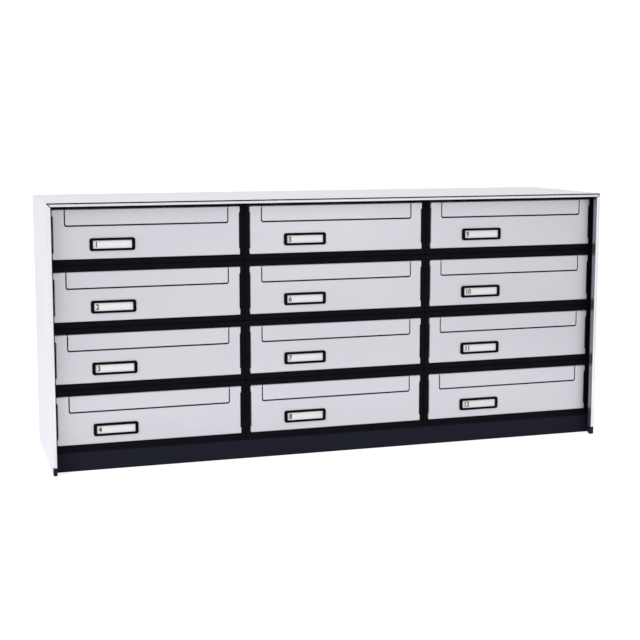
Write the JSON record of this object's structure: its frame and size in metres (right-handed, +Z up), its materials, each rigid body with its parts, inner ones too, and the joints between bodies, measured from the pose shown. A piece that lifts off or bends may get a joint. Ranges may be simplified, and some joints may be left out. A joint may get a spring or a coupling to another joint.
{
  "type": "cluster mailbox",
  "caption": "Free-standing cluster mailbox: rows of letter boxes with flush push-in posting flaps, label holders and locking rear collection doors in an aluminium case on a plinth.",
  "frame": {"origin": "on the floor under the middle of the case", "axes": "+X along the width to the right as seen from the posting side, the posting side faces -Y, +Z up"},
  "size_m": [1.2016, 0.32, 0.5438],
  "materials": {
    "satin_aluminium": "satin anodised",
    "panel_aluminium": "satin anodised",
    "black_sheet": "matt black coat",
    "black_paint": "satin black coat",
    "black_plastic": "fine grained",
    "pin_steel": "drawn wire",
    "lock_metal": "nickel plated",
    "card": "printed card",
    "clear_pane": "clear plastic"
  },
  "bodies": {
    "cabinet": {"left_side_skin": "satin_aluminium", "right_side_skin": "satin_aluminium", "top_skin": "satin_aluminium", "left_nose": "satin_aluminium", "right_nose": "satin_aluminium", "top_nose": "satin_aluminium", "nose_feet": "black_plastic", "plinth_front": "black_paint", "plinth_rear": "black_paint", "plinth_ribs": "black_paint", "box_floors": "black_sheet", "box_roofs": "black_sheet", "box_left_walls": "black_sheet", "box_right_walls": "black_sheet", "front_frames": "black_plastic", "rear_frames": "black_plastic", "front_panels": "panel_aluminium", "flap_brackets": "black_plastic", "flap_pins": "pin_steel", "door_pins": "pin_steel", "label_holders": "black_plastic", "label_cards": "card", "label_windows": "clear_pane"},
    "flap_01": {"flap_01": "panel_aluminium"},
    "rear_door_01": {"rear_door_01": "panel_aluminium"},
    "lock_01": {"lock_01": "lock_metal"},
    "flap_02": {"flap_02": "panel_aluminium"},
    "rear_door_02": {"rear_door_02": "panel_aluminium"},
    "lock_02": {"lock_02": "lock_metal"},
    "flap_03": {"flap_03": "panel_aluminium"},
    "rear_door_03": {"rear_door_03": "panel_aluminium"},
    "lock_03": {"lock_03": "lock_metal"},
    "flap_04": {"flap_04": "panel_aluminium"},
    "rear_door_04": {"rear_door_04": "panel_aluminium"},
    "lock_04": {"lock_04": "lock_metal"},
    "flap_05": {"flap_05": "panel_aluminium"},
    "rear_door_05": {"rear_door_05": "panel_aluminium"},
    "lock_05": {"lock_05": "lock_metal"},
    "flap_06": {"flap_06": "panel_aluminium"},
    "rear_door_06": {"rear_door_06": "panel_aluminium"},
    "lock_06": {"lock_06": "lock_metal"},
    "flap_07": {"flap_07": "panel_aluminium"},
    "rear_door_07": {"rear_door_07": "panel_aluminium"},
    "lock_07": {"lock_07": "lock_metal"},
    "flap_08": {"flap_08": "panel_aluminium"},
    "rear_door_08": {"rear_door_08": "panel_aluminium"},
    "lock_08": {"lock_08": "lock_metal"},
    "flap_09": {"flap_09": "panel_aluminium"},
    "rear_door_09": {"rear_door_09": "panel_aluminium"},
    "lock_09": {"lock_09": "lock_metal"},
    "flap_10": {"flap_10": "panel_aluminium"},
    "rear_door_10": {"rear_door_10": "panel_aluminium"},
    "lock_10": {"lock_10": "lock_metal"},
    "flap_11": {"flap_11": "panel_aluminium"},
    "rear_door_11": {"rear_door_11": "panel_aluminium"},
    "lock_11": {"lock_11": "lock_metal"},
    "flap_12": {"flap_12": "panel_aluminium"},
    "rear_door_12": {"rear_door_12": "panel_aluminium"},
    "lock_12": {"lock_12": "lock_metal"}
  },
  "joints": [
    {"name": "flap_01_swing", "type": "hinge", "parent": "cabinet", "child": "flap_01", "pos_m": [-0.4, -0.1294, 0.5269], "axis": [1, 0, 0], "range_deg": [0, 80]},
    {"name": "rear_door_01_swing", "type": "hinge", "parent": "cabinet", "child": "rear_door_01", "pos_m": [-0.593, 0.1513, 0.4795], "axis": [0, 0, 1], "range_deg": [0, 110]},
    {"name": "lock_01_turn", "type": "hinge", "parent": "rear_door_01", "child": "lock_01", "pos_m": [-0.228, 0.1503, 0.4795], "axis": [0, -1, 0], "range_deg": [0, 90]},
    {"name": "flap_02_swing", "type": "hinge", "parent": "cabinet", "child": "flap_02", "pos_m": [-0.4, -0.1294, 0.4019], "axis": [1, 0, 0], "range_deg": [0, 80]},
    {"name": "rear_door_02_swing", "type": "hinge", "parent": "cabinet", "child": "rear_door_02", "pos_m": [-0.593, 0.1513, 0.3545], "axis": [0, 0, 1], "range_deg": [0, 110]},
    {"name": "lock_02_turn", "type": "hinge", "parent": "rear_door_02", "child": "lock_02", "pos_m": [-0.228, 0.1503, 0.3545], "axis": [0, -1, 0], "range_deg": [0, 90]},
    {"name": "flap_03_swing", "type": "hinge", "parent": "cabinet", "child": "flap_03", "pos_m": [-0.4, -0.1294, 0.2769], "axis": [1, 0, 0], "range_deg": [0, 80]},
    {"name": "rear_door_03_swing", "type": "hinge", "parent": "cabinet", "child": "rear_door_03", "pos_m": [-0.593, 0.1513, 0.2295], "axis": [0, 0, 1], "range_deg": [0, 110]},
    {"name": "lock_03_turn", "type": "hinge", "parent": "rear_door_03", "child": "lock_03", "pos_m": [-0.228, 0.1503, 0.2295], "axis": [0, -1, 0], "range_deg": [0, 90]},
    {"name": "flap_04_swing", "type": "hinge", "parent": "cabinet", "child": "flap_04", "pos_m": [-0.4, -0.1294, 0.1519], "axis": [1, 0, 0], "range_deg": [0, 80]},
    {"name": "rear_door_04_swing", "type": "hinge", "parent": "cabinet", "child": "rear_door_04", "pos_m": [-0.593, 0.1513, 0.1045], "axis": [0, 0, 1], "range_deg": [0, 110]},
    {"name": "lock_04_turn", "type": "hinge", "parent": "rear_door_04", "child": "lock_04", "pos_m": [-0.228, 0.1503, 0.1045], "axis": [0, -1, 0], "range_deg": [0, 90]},
    {"name": "flap_05_swing", "type": "hinge", "parent": "cabinet", "child": "flap_05", "pos_m": [0, -0.1294, 0.5269], "axis": [1, 0, 0], "range_deg": [0, 80]},
    {"name": "rear_door_05_swing", "type": "hinge", "parent": "cabinet", "child": "rear_door_05", "pos_m": [-0.193, 0.1513, 0.4795], "axis": [0, 0, 1], "range_deg": [0, 110]},
    {"name": "lock_05_turn", "type": "hinge", "parent": "rear_door_05", "child": "lock_05", "pos_m": [0.172, 0.1503, 0.4795], "axis": [0, -1, 0], "range_deg": [0, 90]},
    {"name": "flap_06_swing", "type": "hinge", "parent": "cabinet", "child": "flap_06", "pos_m": [0, -0.1294, 0.4019], "axis": [1, 0, 0], "range_deg": [0, 80]},
    {"name": "rear_door_06_swing", "type": "hinge", "parent": "cabinet", "child": "rear_door_06", "pos_m": [-0.193, 0.1513, 0.3545], "axis": [0, 0, 1], "range_deg": [0, 110]},
    {"name": "lock_06_turn", "type": "hinge", "parent": "rear_door_06", "child": "lock_06", "pos_m": [0.172, 0.1503, 0.3545], "axis": [0, -1, 0], "range_deg": [0, 90]},
    {"name": "flap_07_swing", "type": "hinge", "parent": "cabinet", "child": "flap_07", "pos_m": [0, -0.1294, 0.2769], "axis": [1, 0, 0], "range_deg": [0, 80]},
    {"name": "rear_door_07_swing", "type": "hinge", "parent": "cabinet", "child": "rear_door_07", "pos_m": [-0.193, 0.1513, 0.2295], "axis": [0, 0, 1], "range_deg": [0, 110]},
    {"name": "lock_07_turn", "type": "hinge", "parent": "rear_door_07", "child": "lock_07", "pos_m": [0.172, 0.1503, 0.2295], "axis": [0, -1, 0], "range_deg": [0, 90]},
    {"name": "flap_08_swing", "type": "hinge", "parent": "cabinet", "child": "flap_08", "pos_m": [0, -0.1294, 0.1519], "axis": [1, 0, 0], "range_deg": [0, 80]},
    {"name": "rear_door_08_swing", "type": "hinge", "parent": "cabinet", "child": "rear_door_08", "pos_m": [-0.193, 0.1513, 0.1045], "axis": [0, 0, 1], "range_deg": [0, 110]},
    {"name": "lock_08_turn", "type": "hinge", "parent": "rear_door_08", "child": "lock_08", "pos_m": [0.172, 0.1503, 0.1045], "axis": [0, -1, 0], "range_deg": [0, 90]},
    {"name": "flap_09_swing", "type": "hinge", "parent": "cabinet", "child": "flap_09", "pos_m": [0.4, -0.1294, 0.5269], "axis": [1, 0, 0], "range_deg": [0, 80]},
    {"name": "rear_door_09_swing", "type": "hinge", "parent": "cabinet", "child": "rear_door_09", "pos_m": [0.207, 0.1513, 0.4795], "axis": [0, 0, 1], "range_deg": [0, 110]},
    {"name": "lock_09_turn", "type": "hinge", "parent": "rear_door_09", "child": "lock_09", "pos_m": [0.572, 0.1503, 0.4795], "axis": [0, -1, 0], "range_deg": [0, 90]},
    {"name": "flap_10_swing", "type": "hinge", "parent": "cabinet", "child": "flap_10", "pos_m": [0.4, -0.1294, 0.4019], "axis": [1, 0, 0], "range_deg": [0, 80]},
    {"name": "rear_door_10_swing", "type": "hinge", "parent": "cabinet", "child": "rear_door_10", "pos_m": [0.207, 0.1513, 0.3545], "axis": [0, 0, 1], "range_deg": [0, 110]},
    {"name": "lock_10_turn", "type": "hinge", "parent": "rear_door_10", "child": "lock_10", "pos_m": [0.572, 0.1503, 0.3545], "axis": [0, -1, 0], "range_deg": [0, 90]},
    {"name": "flap_11_swing", "type": "hinge", "parent": "cabinet", "child": "flap_11", "pos_m": [0.4, -0.1294, 0.2769], "axis": [1, 0, 0], "range_deg": [0, 80]},
    {"name": "rear_door_11_swing", "type": "hinge", "parent": "cabinet", "child": "rear_door_11", "pos_m": [0.207, 0.1513, 0.2295], "axis": [0, 0, 1], "range_deg": [0, 110]},
    {"name": "lock_11_turn", "type": "hinge", "parent": "rear_door_11", "child": "lock_11", "pos_m": [0.572, 0.1503, 0.2295], "axis": [0, -1, 0], "range_deg": [0, 90]},
    {"name": "flap_12_swing", "type": "hinge", "parent": "cabinet", "child": "flap_12", "pos_m": [0.4, -0.1294, 0.1519], "axis": [1, 0, 0], "range_deg": [0, 80]},
    {"name": "rear_door_12_swing", "type": "hinge", "parent": "cabinet", "child": "rear_door_12", "pos_m": [0.207, 0.1513, 0.1045], "axis": [0, 0, 1], "range_deg": [0, 110]},
    {"name": "lock_12_turn", "type": "hinge", "parent": "rear_door_12", "child": "lock_12", "pos_m": [0.572, 0.1503, 0.1045], "axis": [0, -1, 0], "range_deg": [0, 90]}
  ]
}
